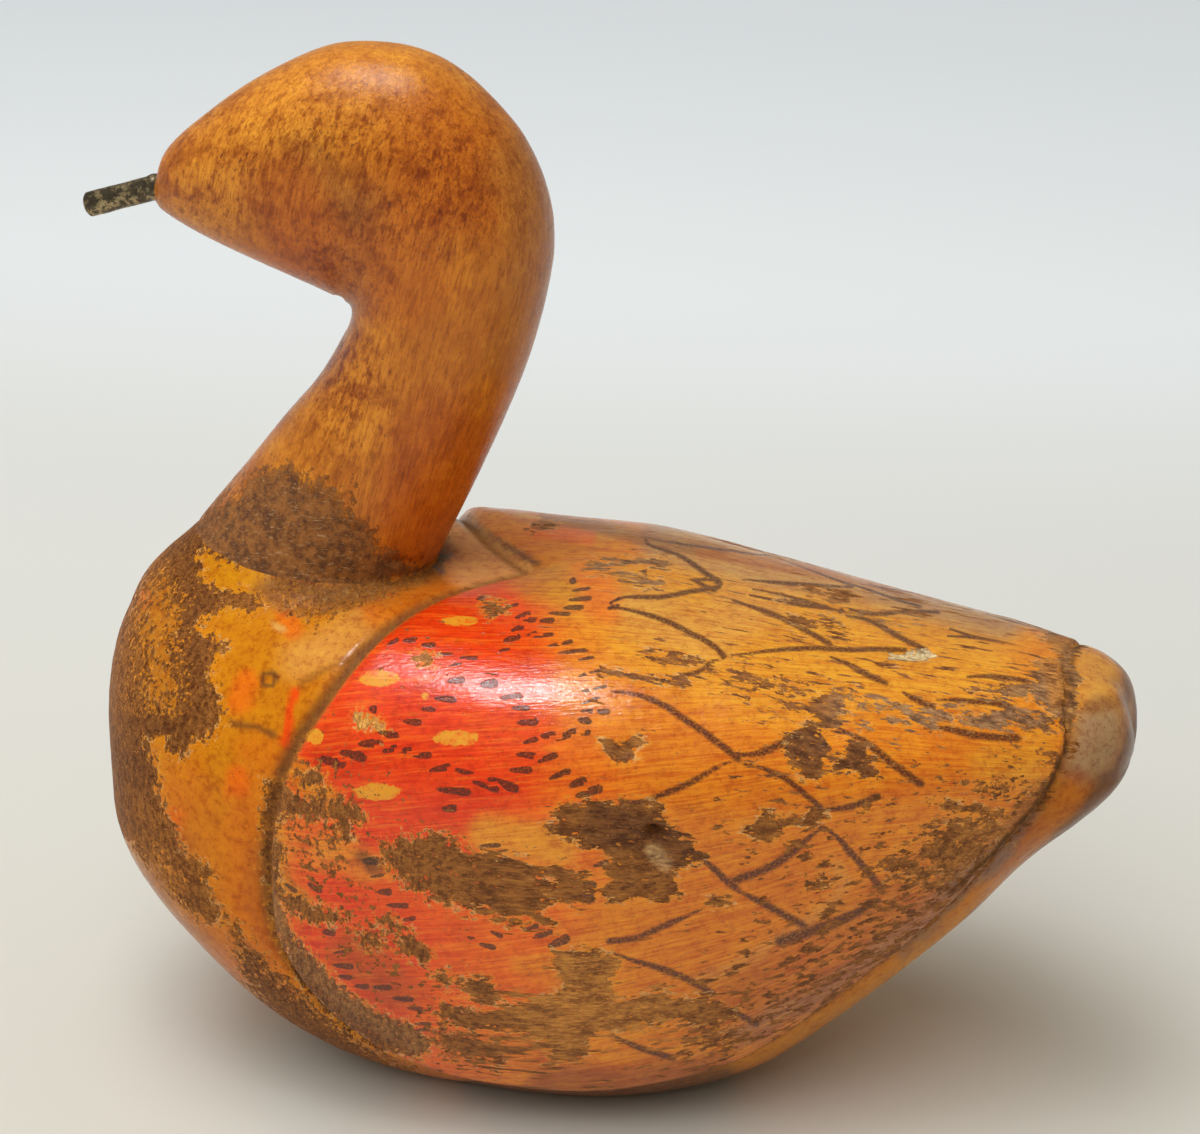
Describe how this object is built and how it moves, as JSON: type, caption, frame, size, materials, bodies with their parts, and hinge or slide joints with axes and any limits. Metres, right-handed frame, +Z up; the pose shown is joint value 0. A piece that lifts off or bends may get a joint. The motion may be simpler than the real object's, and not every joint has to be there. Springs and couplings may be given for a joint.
{
  "type": "carved wooden duck",
  "caption": "Carved wooden duck with folded wings in low relief, an upright head on a glued neck, and the bare iron pin that once held its bill.",
  "frame": {"origin": "on the floor, under the middle of the duck's length and width", "axes": "+X from the breast to the tail, so the duck looks along -X; +Y to the duck's right; +Z up"},
  "size_m": [0.2564, 0.139, 0.2528],
  "materials": {
    "painted_wood": "worn red, orange and ochre paint over brown wood, waxed to a soft gloss",
    "bare_wood": "bare orange-brown wood, rubbed smooth and waxed",
    "iron": "dark old iron, worn bright in places"
  },
  "bodies": {
    "root": {"body": "painted_wood", "head_and_neck": "bare_wood", "bill_pin": "iron"}
  },
  "joints": []
}
